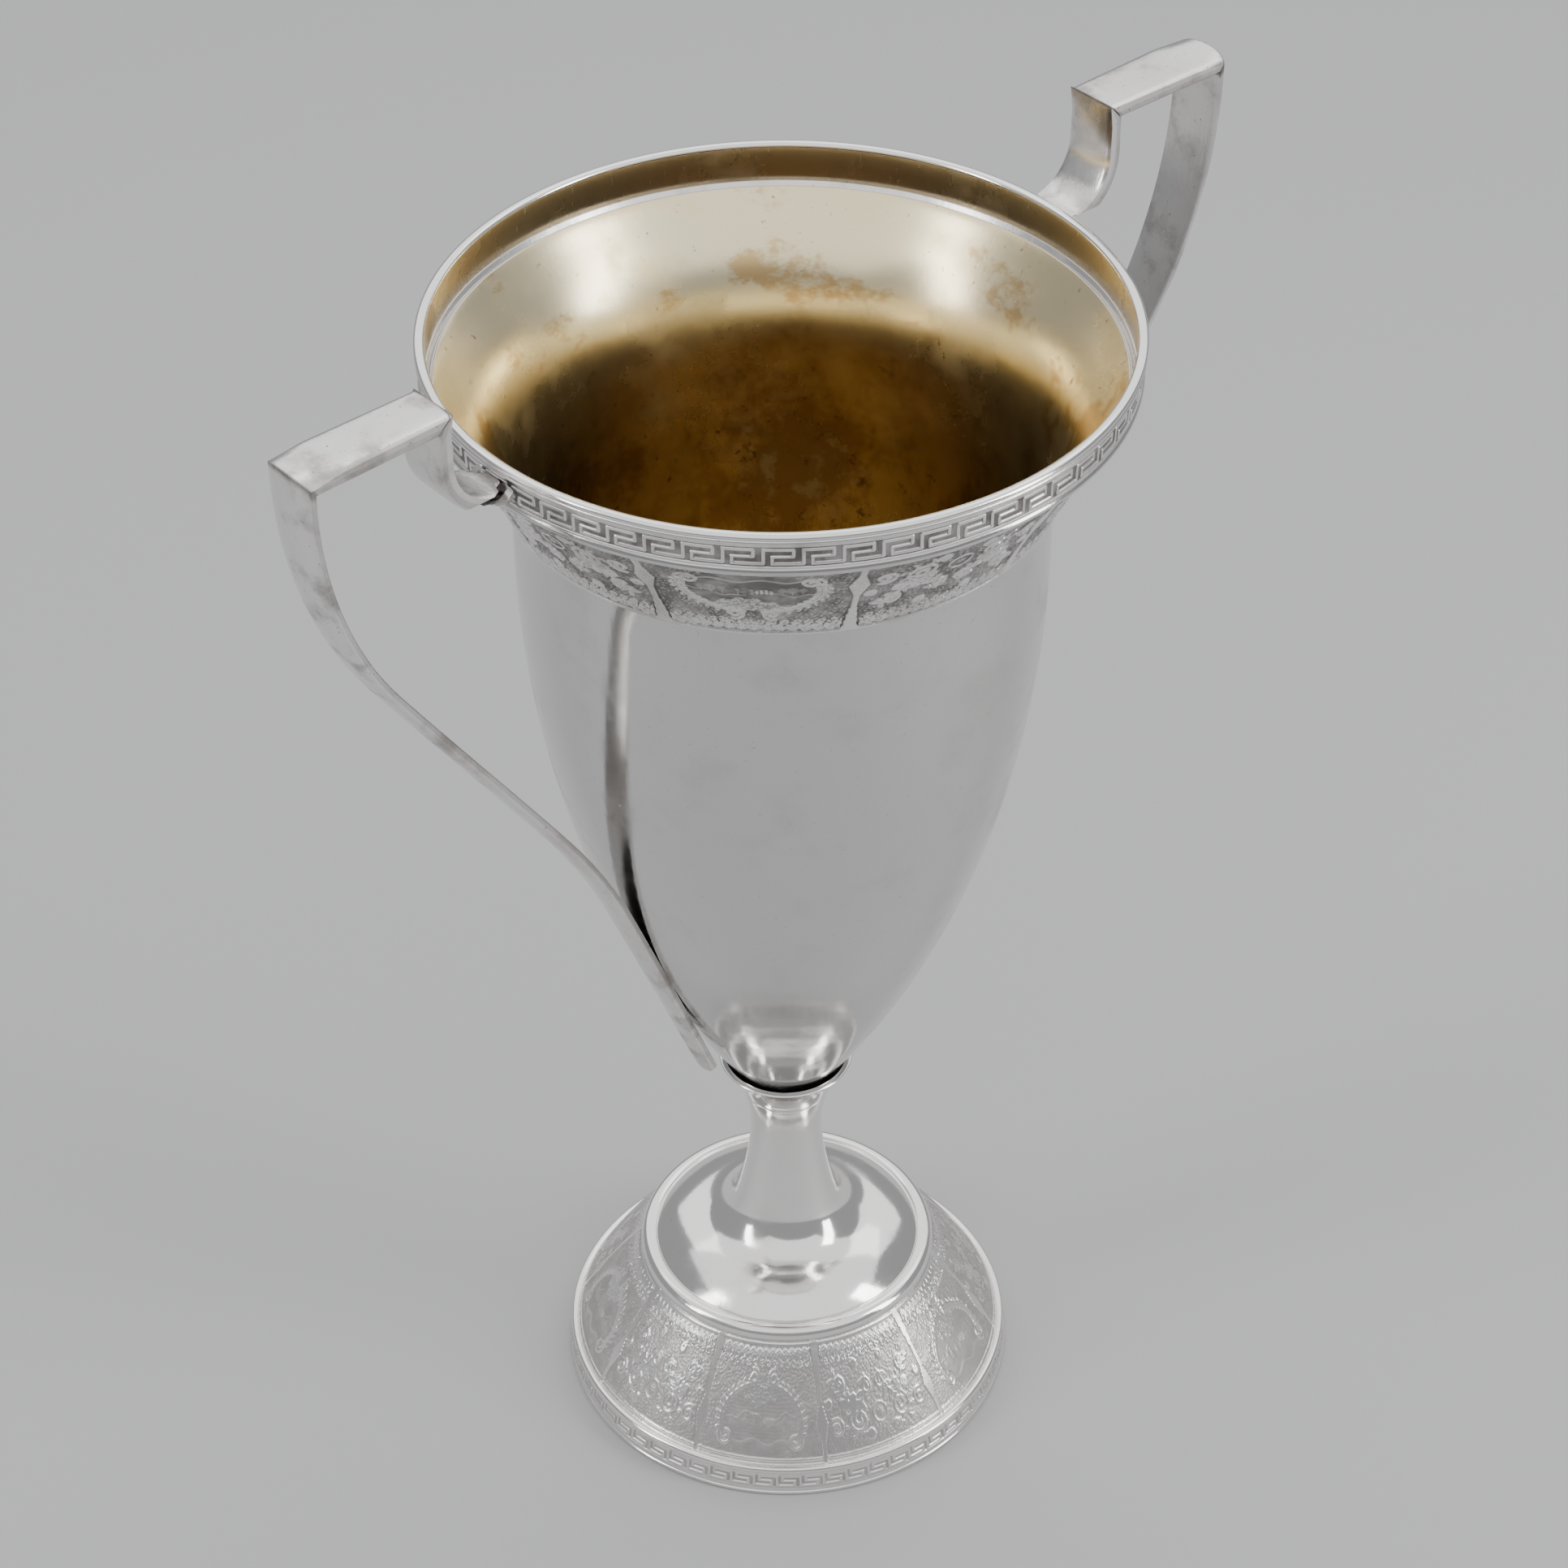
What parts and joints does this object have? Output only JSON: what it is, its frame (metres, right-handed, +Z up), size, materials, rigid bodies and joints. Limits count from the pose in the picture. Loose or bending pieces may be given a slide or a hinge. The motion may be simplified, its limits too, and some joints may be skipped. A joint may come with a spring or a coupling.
{
  "type": "two-handled cup trophy",
  "caption": "Tall two-handled silver-plate cup trophy with a gilt bowl, angular strap handles, key and scroll borders and a trumpet foot.",
  "frame": {"origin": "centre of the resting face under the foot, on the bowl's axis", "axes": "+Z up along the bowl's axis, handles along +X and -X"},
  "size_m": [0.2488, 0.152, 0.3204],
  "materials": {
    "polished_silver": "polished silver plate, lightly worn, with faint scratches",
    "ornament_silver": "rolled relief with grey and pinkish brown tarnish in its hollows",
    "handle_silver": "satin silver plate with spots of tarnish",
    "gilt": "worn gold wash inside the bowl, stained orange and brown",
    "fitting_brass": "plain turned brass",
    "fitting_steel": "plain spring steel"
  },
  "bodies": {
    "root": {"bowl": "polished_silver", "panel_band_mouth": "ornament_silver", "neck_wire": "polished_silver", "key_band_mouth": "ornament_silver", "rim_wire": "polished_silver", "handle_left_riser": "handle_silver", "handle_left_bar": "handle_silver", "handle_left_strap": "handle_silver", "handle_right_riser": "handle_silver", "handle_right_bar": "handle_silver", "handle_right_strap": "handle_silver", "bowl_boss": "fitting_brass", "calyx": "polished_silver", "stem_trumpet": "polished_silver", "foot_bead": "polished_silver", "panel_band_skirt": "ornament_silver", "skirt_wire": "polished_silver", "key_band_base": "ornament_silver", "foot_edge_wire": "polished_silver", "tie_stud": "fitting_brass", "clamp_plate": "fitting_brass", "spring_washer": "fitting_steel", "stud_nut": "fitting_brass"}
  },
  "joints": []
}
